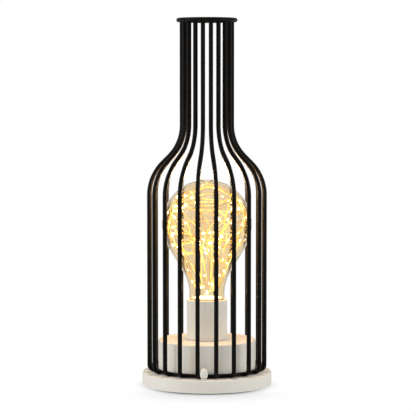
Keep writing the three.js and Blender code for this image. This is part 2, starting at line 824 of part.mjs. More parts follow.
// Cover under the base: door opening, slot for the knob, posts for the board, screw holes
function coverGeometry() {
  const openHalfX = doorHalfX + doorGap;
  const openFront = doorFront - doorGap;
  const openBack = doorBack + doorGap;
  const nailDepth = 0.8; // notch for a fingernail in front of the door
  const nailReach = 4;
  const nailHalfX = latchHalfX + 1;
  const slotHalfY = switchTravel / 2 + knobHalfY + fit;
  let cover = rod(0, 0, coverBottom, coverTop, coverRadius, 48);
  cover = cover.subtract(box(-openHalfX, openHalfX, openFront, openBack, 0, coverTop + 1));
  const nailFront = openFront - nailReach;
  cover = cover.subtract(box(-nailHalfX, nailHalfX, nailFront, openFront + 1, 0, coverBottom + nailDepth));
  cover = withKnuckles(cover, coverKnuckles, doorKnuckles);
  const slotHalfX = knobHalfX + fit;
  cover = cover.subtract(boxRound(boardX, 0, slotHalfX, slotHalfY, 0, coverTop + 1));
  for (const side of [-1, 1]) {
    const postY = side * (boardHalfY - postRadius - fit);
    cover = cover.add(rod(boardX, postY, coverBottom + 1, switchTop, postRadius, 10));
  }
  for (const angle of fourCorners(Math.PI / 4)) {
    const [x, y] = onCircle(coverScrewRing, angle);
    cover = cover.subtract(rod(x, y, 0, coverTop + 1, screwHole, 8));
  }
  return geometryOf(cover);
}

const hingePinGeometry = () => geometryOf(rodAlongX(0, hingeY, hingeZ, pinLength, pinRadius, 10));

// Slide switch under the board, its knob through the cover
const switchHalfX = 2.3;
const switchHalfY = 5;
const knobHalfX = 1.3;
const knobHalfY = 1.5;
const stemHalfX = 0.8;
const stemHalfY = 0.9;
const switchRoof = 0.8;
const knobReach = 1; // knob past the underside of the cover

function switchBodyGeometry() {
  const slotHalfX = stemHalfX + fit;
  const slotHalfY = switchTravel / 2 + stemHalfY + fit;
  const slotTop = switchTop - switchRoof;
  const shell = boxRound(boardX, 0, switchHalfX, switchHalfY, switchBottom, switchTop);
  const slot = boxRound(boardX, 0, slotHalfX, slotHalfY, coverTop, slotTop);
  return geometryOf(shell.subtract(slot));
}

function knobGeometry() {
  const bottom = coverBottom - knobReach;
  const stemTop = switchTop - switchRoof - fit;
  const cap = boxRound(boardX, switchRest, knobHalfX, knobHalfY, bottom, coverTop);
  const stem = boxRound(boardX, switchRest, stemHalfX, stemHalfY, coverBottom, stemTop);
  return geometryOf(cap.add(stem));
}

function boardGeometry() {
  const left = boardX - boardHalfX;
  const right = boardX + boardHalfX;
  const board = box(left, right, -boardHalfY, boardHalfY, boardBottom, boardTop);
  const chipRight = right - 1;
  const chipWidth = 3;
  const chipHeight = 1.4;
  const chipBottom = boardBottom - chipHeight;
  const chip = box(chipRight - chipWidth, chipRight, -chipWidth, chipWidth, chipBottom, boardBottom + fit);
  return geometryOf(board.add(chip));
}

function addBase() {
  const base = group("base");
  add(base, "base_shell", baseShellGeometry(), materials.whitePlastic);
  add(base, "battery_housing", housingGeometry(), materials.whitePlastic);
  add(base, "bottom_cover", coverGeometry(), materials.whitePlastic);
  add(base, "battery_door", doorGeometry(), materials.whitePlastic);
  add(base, "door_hinge_pin", hingePinGeometry(), materials.zincSteel);
  add(base, "switch_body", switchBodyGeometry(), materials.blackPlastic);
  add(base, "switch_knob", knobGeometry(), materials.blackPlastic);
  add(base, "circuit_board", boardGeometry(), materials.boardGreen);
}

// Pads to stand on and the two sets of screws
function screwGeometry(headTop, tip) {
  const headRadius = 2.6;
  const headHeight = 1.2;
  const headBevel = 0.5;
  const profile = [
    at(0, headTop - headHeight),
    at(headRadius - headBevel, headTop - headHeight),
    at(headRadius, headTop - headHeight + headBevel),
    at(headRadius, headTop),
    at(screwShank, headTop),
    at(screwShank, tip),
    at(0, tip),
  ];
  return turned(profile, 10);
}

function addFeetAndScrews() {
  const small = group("feet_and_screws");
  for (let index = 0; index < 4; index += 1) {
    const [padX, padY] = onCircle(padRing, (index * Math.PI) / 2);
    const pad = geometryOf(rod(padX, padY, 0, padHeight, padRadius, 16));
    add(small, `foot_pad_${index + 1}`, pad, materials.foam);
    const [drumX, drumY] = onCircle(housingScrewRing, fourCorners(housingScrewAngle)[index]);
    const drumScrew = screwGeometry(baseCeiling - fit, housingBottom + housingScrewReach);
    drumScrew.translate(drumX, drumY, 0);
    add(small, `housing_screw_${index + 1}`, drumScrew, materials.zincSteel);
    const [coverX, coverY] = onCircle(coverScrewRing, fourCorners(Math.PI / 4)[index]);
    const coverScrew = screwGeometry(coverBottom - fit, baseCeiling - tipRoom);
    coverScrew.translate(coverX, coverY, 0);
    add(small, `cover_screw_${index + 1}`, coverScrew, materials.zincSteel);
  }
}

addCage();
addClips();
addBase();
addPower();
addLampHead();
addFeetAndScrews();

export default lamp;
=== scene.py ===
import math

import bmesh
import bpy
from mathutils import Matrix, Vector


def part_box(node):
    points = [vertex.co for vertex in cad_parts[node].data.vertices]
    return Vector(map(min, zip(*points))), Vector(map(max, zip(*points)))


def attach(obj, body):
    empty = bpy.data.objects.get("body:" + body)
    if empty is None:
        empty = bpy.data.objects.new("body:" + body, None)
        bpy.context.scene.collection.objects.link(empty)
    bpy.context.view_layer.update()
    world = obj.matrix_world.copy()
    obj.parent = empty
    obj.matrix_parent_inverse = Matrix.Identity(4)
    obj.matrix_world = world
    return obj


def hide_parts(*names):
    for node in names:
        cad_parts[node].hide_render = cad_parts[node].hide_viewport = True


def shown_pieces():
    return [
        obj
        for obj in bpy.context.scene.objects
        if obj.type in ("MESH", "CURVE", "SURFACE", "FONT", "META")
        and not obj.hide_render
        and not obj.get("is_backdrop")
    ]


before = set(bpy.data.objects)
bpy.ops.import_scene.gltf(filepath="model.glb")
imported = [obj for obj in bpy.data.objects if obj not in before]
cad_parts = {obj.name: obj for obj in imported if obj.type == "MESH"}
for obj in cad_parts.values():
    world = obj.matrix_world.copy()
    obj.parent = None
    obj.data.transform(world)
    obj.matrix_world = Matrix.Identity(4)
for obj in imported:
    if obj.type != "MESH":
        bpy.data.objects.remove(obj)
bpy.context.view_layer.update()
scene = bpy.context.scene
mm = 0.001  # settings are in millimetres unless a note says otherwise, Blender works in metres
turn = 2 * math.pi
samePoint = 2e-6  # points closer than two thousandths of a millimetre are one point
noiseSpan = (0.3, 0.7)  # nearly all values of a noise texture lie between these
pureWhite = (1, 1, 1, 1)


# Nodes and colours

def linear(hexColour):
    channels = [int(hexColour[i:i + 2], 16) / 255 for i in (1, 3, 5)]
    return (*[c / 12.92 if c <= 0.04045 else ((c + 0.055) / 1.055) ** 2.4 for c in channels], 1.0)


def addNode(tree, kind, inputs=None, **settings):
    node = tree.nodes.new(kind)
    for name, value in settings.items():
        setattr(node, name, value)
    for key, value in (inputs or {}).items():
        for one in value if isinstance(value, list) else [value]:
            if isinstance(one, bpy.types.NodeSocket):
                tree.links.new(one, node.inputs[key])
            else:
                node.inputs[key].default_value = one
    return node


def result(tree, kind, inputs=None, **settings):
    return addNode(tree, kind, inputs, **settings).outputs[0]


def calculate(tree, operation, *values):
    return result(tree, "ShaderNodeMath", dict(enumerate(values)), operation=operation)


def ranged(tree, value, ends, span=(0.0, 1.0)):
    inputs = {"Value": value, 1: span[0], 2: span[1], 3: ends[0], 4: ends[1]}
    return result(tree, "ShaderNodeMapRange", inputs)


def objectPlace(tree):
    return addNode(tree, "ShaderNodeTexCoord").outputs["Object"]


def noise(tree, place, size, detail=2.0):
    inputs = {"Vector": place, "Scale": 1 / (size * mm), "Detail": detail}
    return addNode(tree, "ShaderNodeTexNoise", inputs).outputs["Fac"]


def blend(tree, share, tones):
    inputs = {0: share, 6: linear(tones[0]), 7: linear(tones[1])}
    return addNode(tree, "ShaderNodeMix", inputs, data_type="RGBA").outputs[2]


def relief(tree, height, depth):
    inputs = {"Height": height, "Distance": depth * mm, "Strength": 1.0}
    return result(tree, "ShaderNodeBump", inputs)


def mixShader(tree, share, first, second):
    return result(tree, "ShaderNodeMixShader", {0: share, 1: first, 2: second})


def newMaterial(name):
    material = bpy.data.materials.new(name)
    material.use_nodes = True
    material.node_tree.nodes.clear()
    return material, material.node_tree


def endMaterial(tree, shader):
    addNode(tree, "ShaderNodeOutputMaterial", {"Surface": shader})


# Turned shapes: corners are (radius, height) or (radius, height, fillet), in metres

def rounded(corners, step=math.radians(12)):
    points = []
    for index, corner in enumerate(corners):
        place = Vector(corner[:2])
        if len(corner) == 2:
            points.append(place)
            continue
        back = (Vector(corners[index - 1][:2]) - place).normalized()
        ahead = (Vector(corners[(index + 1) % len(corners)][:2]) - place).normalized()
        half = back.angle(ahead) / 2
        centre = place + (back + ahead).normalized() * corner[2] / math.sin(half)
        start = place + back * corner[2] / math.tan(half) - centre
        end = place + ahead * corner[2] / math.tan(half) - centre
        sweep = -start.angle_signed(end)
        steps = max(2, round(abs(sweep) / step))
        points += [centre + Matrix.Rotation(sweep * i / steps, 2) @ start for i in range(steps + 1)]
    return points


def arc(centre, radius, fromAngle, toAngle, steps):
    angles = [fromAngle + (toAngle - fromAngle) * i / steps for i in range(steps + 1)]
    return [Vector((centre[0] + radius * math.cos(a), centre[1] + radius * math.sin(a))) for a in angles]


def turned(profile, segments, closed=False):
    shape = bmesh.new()
    rows = []
    for radius, height in profile:
        count = segments if radius > 1e-7 else 1  # one point where the profile meets the axis
        angles = [turn * i / segments for i in range(count)]
        rows.append([shape.verts.new((radius * math.cos(a), radius * math.sin(a), height)) for a in angles])
    for lower, upper in zip(rows, rows[1:] + (rows[:1] if closed else [])):
        for i in range(segments):
            pairs = ((lower, i), (lower, i + 1), (upper, i + 1), (upper, i))
            corners = list(dict.fromkeys(row[k % len(row)] for row, k in pairs))
            if len(corners) > 2:
                shape.faces.new(corners)
    bmesh.ops.recalc_face_normals(shape, faces=shape.faces)
    return meshOf(shape)


def meshOf(shape):
    mesh = bpy.data.meshes.new("shape")
    shape.to_mesh(mesh)
    shape.free()
    return mesh


def moved(mesh, x, y):
    mesh.transform(Matrix.Translation((x, y, 0)))
    return mesh


def rod(x, y, bottom, top, radius, segments=32):
    return moved(turned([(0, bottom), (radius, bottom), (radius, top), (0, top)], segments), x, y)


def block(low, high):
    shape = bmesh.new()
    bmesh.ops.create_cube(shape, size=1)
    mesh = meshOf(shape)
    low, high = Vector(low), Vector(high)
    mesh.transform(Matrix.Translation((low + high) / 2) @ Matrix.Diagonal((high - low).to_4d()))
    return mesh


def joined(*meshes):
    shape = bmesh.new()
    for mesh in meshes:
        shape.from_mesh(mesh)
    return meshOf(shape)


# Lengths, middles of the source's solids, and new objects

def inMetres(look, *names):
    return [look[name] * mm for name in names]


def middleOf(node):
    low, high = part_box(node)
    return (low.x + high.x) / 2, (low.y + high.y) / 2, (low.z + high.z) / 2


def placed(name, data):
    thing = bpy.data.objects.new(name, data)
    scene.collection.objects.link(thing)
    return thing


# Modifiers and node trees are run on a helper object, which is then removed

def applied(mesh, dress):
    helper = placed("helper", mesh)
    extras = dress(helper) or []
    graph = bpy.context.evaluated_depsgraph_get()
    made = bpy.data.meshes.new_from_object(helper.evaluated_get(graph))
    helper.modifiers.clear()
    for thing in [helper, *extras]:
        bpy.data.objects.remove(thing)
    return made


def carved(mesh, tools, operation="DIFFERENCE"):
    def dress(helper):
        extras = []
        for tool in tools:
            extras.append(placed("tool", tool))
            modifier = helper.modifiers.new("carve", "BOOLEAN")
            modifier.object = extras[-1]
            modifier.operation = operation
            modifier.solver = "EXACT"
        return extras
    return applied(mesh, dress)


def bevelled(mesh, width, angle=35):
    def dress(helper):
        modifier = helper.modifiers.new("bevel", "BEVEL")
        modifier.width = width
        modifier.segments = 2
        modifier.limit_method = "ANGLE"
        modifier.angle_limit = math.radians(angle)
    return applied(mesh, dress)


def softenedCopy(node, width, samePlace=1e-6, flatAngle=1):
    shape = bmesh.new()
    shape.from_mesh(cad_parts[node].data)
    bmesh.ops.remove_doubles(shape, verts=shape.verts, dist=samePlace)
    bmesh.ops.dissolve_limit(shape, angle_limit=math.radians(flatAngle), verts=shape.verts, edges=shape.edges)
    return bevelled(meshOf(shape), width)


def newTree(name, *numbers, whole=()):
    tree = bpy.data.node_groups.new(name, "GeometryNodeTree")
    tree.interface.new_socket("Geometry", in_out="OUTPUT", socket_type="NodeSocketGeometry")
    tree.interface.new_socket("Geometry", in_out="INPUT", socket_type="NodeSocketGeometry")
    tree.interface.new_socket("finish", in_out="INPUT", socket_type="NodeSocketMaterial")
    for label in (*numbers, *whole):
        kind = "NodeSocketInt" if label in whole else "NodeSocketFloat"
        tree.interface.new_socket(label, in_out="INPUT", socket_type=kind)
    return tree, addNode(tree, "NodeGroupInput").outputs


def endTree(tree, sizes, geometry):
    real = result(tree, "GeometryNodeRealizeInstances", {"Geometry": geometry})
    inputs = {"Geometry": real, "Material": sizes["finish"]}
    dressed = result(tree, "GeometryNodeSetMaterial", inputs)
    addNode(tree, "NodeGroupOutput", {"Geometry": dressed})


def along(tree, **parts):
    inputs = {axis.upper(): value for axis, value in parts.items()}
    return result(tree, "ShaderNodeCombineXYZ", inputs)


def pathCurve(tree, sizes):
    return result(tree, "GeometryNodeMeshToCurve", {"Mesh": sizes["Geometry"]})


def circleCurve(tree, steps, radius):
    inputs = {"Resolution": steps, "Radius": radius}
    return result(tree, "GeometryNodeCurvePrimitiveCircle", inputs)


def swept(tree, curve, section, scale=1.0):
    inputs = {"Curve": curve, "Profile Curve": section, "Scale": scale, "Fill Caps": True}
    return result(tree, "GeometryNodeCurveToMesh", inputs)


def shifted(tree, shape, offset):
    inputs = {"Geometry": shape, "Translation": offset}
    return result(tree, "GeometryNodeTransform", inputs)


def instances(tree, points, shape, **more):
    extras = {name.capitalize(): value for name, value in more.items()}
    inputs = {"Points": points, "Instance": shape, **extras}
    return result(tree, "GeometryNodeInstanceOnPoints", inputs)


def grown(tree, start, **values):
    def dress(helper):
        modifier = helper.modifiers.new("grow", "NODES")
        modifier.node_group = tree
        for item in tree.interface.items_tree:
            if item.in_out == "INPUT" and item.name in values:
                modifier[item.identifier] = values[item.name]
    return applied(start, dress)


def pathMesh(points, **fields):
    mesh = bpy.data.meshes.new("path")
    mesh.from_pydata(points, [(i, i + 1) for i in range(len(points) - 1)], [])
    for name, values in fields.items():
        mesh.attributes.new(name, "FLOAT", "POINT").data.foreach_set("value", values)
    return mesh


def addPiece(name, mesh, material, nodes, body="lamp", sharp=35):
    shape = bmesh.new()
    shape.from_mesh(mesh)
    bmesh.ops.remove_doubles(shape, verts=shape.verts, dist=samePoint)
    for face in shape.faces:
        face.smooth = True
    for edge in shape.edges:
        edge.smooth = edge.is_manifold and edge.calc_face_angle(0) < math.radians(sharp)
    shape.to_mesh(mesh)
    shape.free()
    mesh.materials.clear()
    mesh.materials.append(material)
    piece = placed(name, mesh)
    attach(piece, body)
    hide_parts(*nodes)
    print("made", name, len(mesh.polygons), "faces")


# Materials that differ only in their settings: two tones in soft clouds, and a grain for gloss and relief

def grainedFinish(name, look):
    material, tree = newMaterial(name)
    place = objectPlace(tree)
    clouds = noise(tree, place, look["cloud"], detail=3.0)
    grain = noise(tree, place, look["grain"])
    share = ranged(tree, clouds, (0.0, 1.0), noiseSpan)
    shader = result(tree, "ShaderNodeBsdfPrincipled",
                    {"Base Color": blend(tree, share, look["tones"]),
                     "Roughness": ranged(tree, grain, look["roughness"], noiseSpan),
                     "Normal": relief(tree, grain, look["depth"]), **look.get("fixed", {})})
    endMaterial(tree, shader)
    return material


# Steel wire with a baked powder coat: nearly black, satin, with the coat's fine orange peel
# The peel is 0.6 mm on the real coat and is drawn at 1.2 mm so that it shows
powderCoat = grainedFinish("blackPowderCoat", {
    "tones": ("#0a0908", "#120f0d"), "cloud": 14, "grain": 1.2, "depth": 0.012,
    "roughness": (0.34, 0.46), "fixed": {"Specular IOR Level": 0.08}})

# Moulded ABS, warm white, from a spark-eroded tool: dull, with a fine even grain
# The grain is 0.2 mm on the real part and is drawn at 0.7 mm so that it shows
whitePlastic = grainedFinish("mouldedWhiteAbs", {
    "tones": ("#e5e1d7", "#ebe8e0"), "cloud": 22, "grain": 0.7, "depth": 0.006,
    "roughness": (0.5, 0.64), "fixed": {"Specular IOR Level": 0.4}})

# Moulded black ABS of the tray and the switch: plain, a little shiny
blackPlastic = grainedFinish("mouldedBlackAbs", {
    "tones": ("#1a1a1b", "#242424"), "cloud": 12, "grain": 0.5, "depth": 0.006, "roughness": (0.38, 0.5)})

# Nickel plated spring steel of the contacts: bright and a little yellow
nickelSteel = grainedFinish("nickelPlatedSteel", {
    "tones": ("#b9b3a6", "#cfcabd"), "cloud": 4, "grain": 0.3, "depth": 0.003,
    "roughness": (0.22, 0.36), "fixed": {"Metallic": 1.0}})

# Zinc plated steel of the screws and the hinge pin: greyer, with a cloudy passivation
zincSteel = grainedFinish("zincPlatedSteel", {
    "tones": ("#96948f", "#b4b1a8"), "cloud": 2.5, "grain": 0.25, "depth": 0.004,
    "roughness": (0.3, 0.46), "fixed": {"Metallic": 1.0}})

# Glass-fibre laminate under green lacquer: the weave shows as small clouds
laminate = grainedFinish("lacqueredLaminate", {
    "tones": ("#22563a", "#2f6b45"), "cloud": 1.2, "grain": 0.6, "depth": 0.008, "roughness": (0.3, 0.42)})

# Die-cut foam of the pads: dull, dark, with open pores of about 0.5 mm
padFoam = grainedFinish("dieCutFoam", {
    "tones": ("#2c2b2a", "#444240"), "cloud": 1.0, "grain": 0.5, "depth": 0.08, "roughness": (0.85, 0.98)})


# Blown polycarbonate with a champagne tint: clear, glossy, a little wavy, with a soft painted glow of the
# string's light in the wall. Lights shine through it, so the base and the wires get their light.
def tintedGlobe(look):
    material, tree = newMaterial("champagnePolycarbonate")
    flow = noise(tree, objectPlace(tree), look["flow"], detail=1.0)
    # painted glow: the wall gives off a faint warm light of its own in the string's colour
    wall = result(tree, "ShaderNodeBsdfPrincipled",
                  {"Base Color": blend(tree, flow, look["tones"]), "Roughness": look["roughness"],
                   "Normal": relief(tree, flow, look["depth"]), "IOR": look["bending"],
                   "Transmission Weight": 1.0, "Emission Color": linear(look["glow"]),
                   "Emission Strength": look["glowStrength"]})
    clear = result(tree, "ShaderNodeBsdfTransparent", {"Color": linear(look["tones"][1])})
    shadowRay = addNode(tree, "ShaderNodeLightPath").outputs["Is Shadow Ray"]
    endMaterial(tree, mixShader(tree, shadowRay, wall, clear))
    material.cycles.emission_sampling = "NONE"
    return material


globeFinish = tintedGlobe({"tones": ("#ecdfc4", "#efe4cd"), "flow": 18, "depth": 0.012, "roughness": 0.0,
                           "bending": 1.25, "glow": "#ffd9a0", "glowStrength": 0.02})


# Enamelled copper wire: gold under its lacquer, with painted light from the lights on it: it glows, bright
# and dim by turns
def copperWithPaintedGlow(look):
    material, tree = newMaterial("enamelledCopperPaintedGlow")
    glow = addNode(tree, "ShaderNodeAttribute", attribute_name="glow").outputs["Fac"]
    shader = result(tree, "ShaderNodeBsdfPrincipled",
                    {"Base Color": linear(look["colour"]), "Metallic": 1.0, "Roughness": look["roughness"],
                     "Emission Color": linear(look["light"]),
                     "Emission Strength": ranged(tree, glow, look["glow"])})
    endMaterial(tree, shader)
    material.cycles.emission_sampling = "NONE"
    return material


copperWire = copperWithPaintedGlow({"colour": "#c9983a", "roughness": 0.3, "light": "#ffec88", "glow": (0.34, 1.9)})


# Clear epoxy drop over a chip: bright where the eye looks through the middle at the chip, clear at the rim
def litDrop(look):
    material, tree = newMaterial("litEpoxyDrop")
    haze = noise(tree, objectPlace(tree), look["haze"])
    shader = result(tree, "ShaderNodeBsdfPrincipled",
                    {"Base Color": linear(look["colour"]), "Roughness": look["roughness"],
                     "Emission Color": linear(look["light"]),
                     "Emission Strength": ranged(tree, haze, look["power"], noiseSpan)})
    aside = addNode(tree, "ShaderNodeLayerWeight").outputs["Facing"]
    core = calculate(tree, "POWER", calculate(tree, "SUBTRACT", 1.0, aside), look["falloff"])
    clear = result(tree, "ShaderNodeBsdfTransparent", {"Color": pureWhite})
    endMaterial(tree, mixShader(tree, core, clear, shader))
    material.cycles.emission_sampling = "NONE"
    return material


lightDrop = litDrop({"colour": "#fff1d0", "roughness": 0.15, "light": "#fff0d0", "haze": 9,
                     "power": (3.0, 9.0), "falloff": 12.0})


# Printed film shrunk on a cell: two plain bands, glossy, with bare steel ends
def cellFilm(look):
    material, tree = newMaterial("shrunkCellFilm")
    share = addNode(tree, "ShaderNodeAttribute", attribute_name="along").outputs["Fac"]
    bands = addNode(tree, "ShaderNodeValToRGB", {"Fac": share})
    bands.color_ramp.interpolation = "CONSTANT"
    bands.color_ramp.elements[0].color = linear(look["steel"])
    bands.color_ramp.elements[1].position = look["filmStart"]
    bands.color_ramp.elements[1].color = linear(look["body"])
    for place, colour in ((look["bandStart"], "band"), (look["filmEnd"], "steel")):
        bands.color_ramp.elements.new(place).color = linear(look[colour])
    scuff = noise(tree, objectPlace(tree), look["scuff"], detail=4.0)
    shader = result(tree, "ShaderNodeBsdfPrincipled",
                    {"Base Color": bands.outputs[0], "Metallic": look["metallic"],
                     "Roughness": ranged(tree, scuff, look["roughness"], noiseSpan)})
    endMaterial(tree, shader)
    return material


# where the film and its band begin and end is given as a share of the cell's length
cellJacket = cellFilm({"steel": "#b9b6ae", "body": "#66746c", "band": "#d3d0c6", "scuff": 2, "metallic": 0.35,
                       "roughness": (0.22, 0.4), "filmStart": 0.02, "bandStart": 0.7, "filmEnd": 0.955})
print("materials:", len(bpy.data.materials))


# Cage: one bent wire with a weld at each end, repeated round the axis

cage = {"wires": 20, "wireRadius": 1.95, "neckRadius": 22.4, "bodyRadius": 51.718, "bodyTop": 170,
        "neckBottom": 231.658, "wireTop": 322.258, "slope": 45,  # degrees from upright
        "footRadius": 47.168, "footHeight": 14.15, "footBend": 4.55, "weld": 2,
        "bendSteps": 12, "sides": 16, "weldRings": 8}


def cageTree(look):
    tree, sizes = newTree("bentWires", "radius", "weld", "first", whole=["count"])
    line = pathCurve(tree, sizes)
    bend = result(tree, "GeometryNodeInputNamedAttribute", {"Name": "bend"}, data_type="FLOAT")
    bent = result(tree, "GeometryNodeFilletCurve",
                  {"Curve": line, "Count": look["bendSteps"], "Radius": bend}, mode="POLY")
    tube = swept(tree, bent, circleCurve(tree, look["sides"], sizes["radius"]))
    ends = result(tree, "GeometryNodeCurveEndpointSelection")
    bead = result(tree, "GeometryNodeMeshUVSphere",
                  {"Segments": look["sides"], "Rings": look["weldRings"], "Radius": sizes["weld"]})
    welds = instances(tree, bent, bead, selection=ends)
    wire = result(tree, "GeometryNodeJoinGeometry", {"Geometry": [tube, welds]})
    places = result(tree, "GeometryNodePoints", {"Count": sizes["count"]})
    pitch = calculate(tree, "DIVIDE", turn, sizes["count"])
    index = result(tree, "GeometryNodeInputIndex")
    angle = calculate(tree, "MULTIPLY_ADD", index, pitch, sizes["first"])
    wires = instances(tree, places, wire, rotation=along(tree, z=angle))
    endTree(tree, sizes, wires)
    return tree


def makeCage(look):
    slope = math.radians(look["slope"])
    width = look["bodyRadius"] - look["neckRadius"]
    rise = look["neckBottom"] - look["bodyTop"]
    # two equal bends and a straight slope between them share out the shoulder's width and height
    bend = (rise - width / math.tan(slope)) / (2 * math.tan(slope / 2))
    reach = bend * math.tan(slope / 2)
    corners = [(look["neckRadius"], look["wireTop"], 0),
               (look["neckRadius"], look["neckBottom"] - reach, bend),
               (look["bodyRadius"], look["bodyTop"] + reach, bend),
               (look["bodyRadius"], look["footHeight"], look["footBend"]),
               (look["footRadius"], look["footHeight"], 0)]
    line = pathMesh([(x * mm, 0, z * mm) for x, z, radius in corners],
                    bend=[radius * mm for x, z, radius in corners])
    pitch = 360 / look["wires"]
    first = math.radians(-90 + pitch / 2)  # a gap, not a wire, is in front
    mesh = grown(cageTree(look), line, finish=powderCoat, count=look["wires"], radius=look["wireRadius"] * mm,
                 weld=look["weld"] * mm, first=first)
    names = [f"cage_wire_{i + 1:02d}" for i in range(look["wires"])]
    addPiece("cageWires", mesh, powderCoat, names)


# seam is a share of the way round, swell a share of the wire, and a larger narrow gives a shorter swelling
ring = {"seam": 0.28, "swell": 0.09, "narrow": 90.0, "steps": 160, "sides": 20}


def ringTree(look):
    tree, sizes = newTree("weldedRing", "radius", "wire", "height", "seam", "swell", "narrow")
    circle = circleCurve(tree, look["steps"], sizes["radius"])
    lift = along(tree, z=sizes["height"])
    raised = result(tree, "GeometryNodeSetPosition", {"Geometry": circle, "Offset": lift})
    factor = addNode(tree, "GeometryNodeSplineParameter").outputs["Factor"]
    # butt weld of the ring: the wire swells a little over a short stretch
    away = calculate(tree, "SUBTRACT", factor, sizes["seam"])
    square = calculate(tree, "POWER", calculate(tree, "MULTIPLY", away, sizes["narrow"]), 2.0)
    hump = calculate(tree, "EXPONENT", calculate(tree, "MULTIPLY", square, -1.0))
    swell = calculate(tree, "MULTIPLY_ADD", hump, sizes["swell"], 1.0)
    endTree(tree, sizes, swept(tree, raised, circleCurve(tree, look["sides"], sizes["wire"]), swell))
    return tree


def makeRings(look):
    tree = ringTree(look)
    for name, node in (("topRing", "cage_top_ring"), ("lowerRing", "cage_lower_ring")):
        low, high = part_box(node)
        wire = (high.z - low.z) / 2
        mesh = grown(tree, bpy.data.meshes.new("ring"), finish=powderCoat, radius=high.x - wire, wire=wire,
                     height=(high.z + low.z) / 2, seam=look["seam"], swell=look["swell"],
                     narrow=look["narrow"])
        addPiece(name, mesh, powderCoat, [node])


clip = {"edge": 0.25}


def makeClips(look):
    for place in ("front", "back"):
        mesh = softenedCopy(f"cage_clip_{place}", look["edge"] * mm)
        addPiece(f"ringClip.{place}", mesh, whitePlastic, [f"cage_clip_{place}"], sharp=20)


makeCage(cage)
makeRings(ring)
makeClips(clip)


# White base: dish, drum, socket, the plug in the globe's neck and the acorn-shaped screws

base = {"wall": 2.4, "edge": 1.2, "foot": 0.6, "inside": 0.8, "segments": 160,
        "holeX": 30.95, "holeY": 31.0, "holeRound": 40.168, "cornerSteps": 4,
        "bossRadius": 3.2, "bossBottom": 4.6, "screwHole": 1.5}


def trayHole(look, bottom, top):
    # a rectangle with its corners cut by a circle
    halfX, halfY, radius = inMetres(look, "holeX", "holeY", "holeRound")
    start = math.acos(halfX / radius)
    end = math.asin(halfY / radius)
    steps = look["cornerSteps"]
    outline = []
    for quarter in range(4):
        for share in [i / steps for i in range(steps + 1)]:
            angle = start + (end - start) * share if quarter % 2 == 0 else end + (start - end) * share
            x, y = radius * math.cos(angle), radius * math.sin(angle)
            outline.append((x if quarter in (0, 3) else -x, y if quarter < 2 else -y))
    shape = bmesh.new()
    floor = shape.faces.new([shape.verts.new((x, y, bottom)) for x, y in outline])
    pulled = bmesh.ops.extrude_face_region(shape, geom=[floor])
    lifted = [item for item in pulled["geom"] if isinstance(item, bmesh.types.BMVert)]
    bmesh.ops.translate(shape, verts=lifted, vec=(0, 0, top - bottom))
    bmesh.ops.recalc_face_normals(shape, faces=shape.faces)
    return meshOf(shape)


def screwPosts(look, screws, post, hole):
    posts, holes = [], []
    for i in range(1, 5):
        x, y = middleOf(f"{screws}_{i}")[:2]
        posts.append(rod(x, y, *post, look["bossRadius"] * mm))
        holes.append(rod(x, y, *hole, look["screwHole"] * mm))
    return posts, holes


def makeBase(look):
    low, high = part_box("base_shell")
    wall = look["wall"] * mm
    ceiling = high.z - wall
    profile = rounded([(0, ceiling), (high.x - wall, ceiling, look["inside"] * mm), (high.x - wall, low.z),
                       (high.x, low.z, look["foot"] * mm), (high.x, high.z, look["edge"] * mm), (0, high.z)])
    dish = turned(profile, look["segments"])
    post = (look["bossBottom"] * mm, ceiling + mm)
    posts, holes = screwPosts(look, "cover_screw", post, (low.z, ceiling))
    mesh = carved(carved(dish, posts, "UNION"), [trayHole(look, low.z, high.z + mm), *holes])
    addPiece("baseDish", mesh, whitePlastic, ["base_shell"])


drum = {"wall": 2.2, "roof": 2.4, "edge": 1.3, "foot": 0.3, "inside": 0.8, "spigotHole": 9.3, "segments": 160,
        "bossRadius": 3.2, "bossHeight": 10.8, "screwHole": 1.5, "holeDepth": 9.8}


def makeDrum(look):
    low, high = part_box("battery_housing")
    inner = high.x - look["wall"] * mm
    ceiling = high.z - look["roof"] * mm
    spigot = look["spigotHole"] * mm
    profile = rounded([(spigot, ceiling), (inner, ceiling, look["inside"] * mm), (inner, low.z),
                       (high.x, low.z, look["foot"] * mm), (high.x, high.z, look["edge"] * mm),
                       (spigot, high.z)])
    cup = turned(profile, look["segments"], closed=True)
    post = (low.z, low.z + look["bossHeight"] * mm)
    hole = (low.z - mm, low.z + look["holeDepth"] * mm)
    posts, holes = screwPosts(look, "housing_screw", post, hole)
    mesh = carved(carved(cup, posts, "UNION"), holes)
    addPiece("batteryDrum", mesh, whitePlastic, ["battery_housing"])


socket = {"gap": 0.3, "bore": 16.05, "ledge": 3, "seatDepth": 18.4, "floor": 2.4, "spigot": 9,
          "spigotBore": 6.5, "rim": 0.7, "lip": 0.4, "foot": 0.3, "segments": 128}


def makeSocket(look):
    low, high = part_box("lamp_socket")
    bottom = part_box("battery_housing")[1].z + look["gap"] * mm
    seat = high.z - look["seatDepth"] * mm
    bore, spigot, spigotBore = inMetres(look, "bore", "spigot", "spigotBore")
    inner = bore - look["ledge"] * mm
    floor = bottom + look["floor"] * mm
    profile = rounded([(spigot, low.z), (spigot, bottom), (high.x, bottom, look["foot"] * mm),
                       (high.x, high.z, look["rim"] * mm), (bore, high.z, look["lip"] * mm), (bore, seat),
                       (inner, seat), (inner, floor), (spigotBore, floor), (spigotBore, low.z)])
    mesh = turned(profile, look["segments"], closed=True)
    addPiece("lampSocket", mesh, whitePlastic, ["lamp_socket"])


plug = {"bore": 0.65, "wall": 3, "roof": 3, "cup": 13.95, "flange": 2.7, "flangeEdge": 0.3, "edge": 1.0,
        "segments": 96}


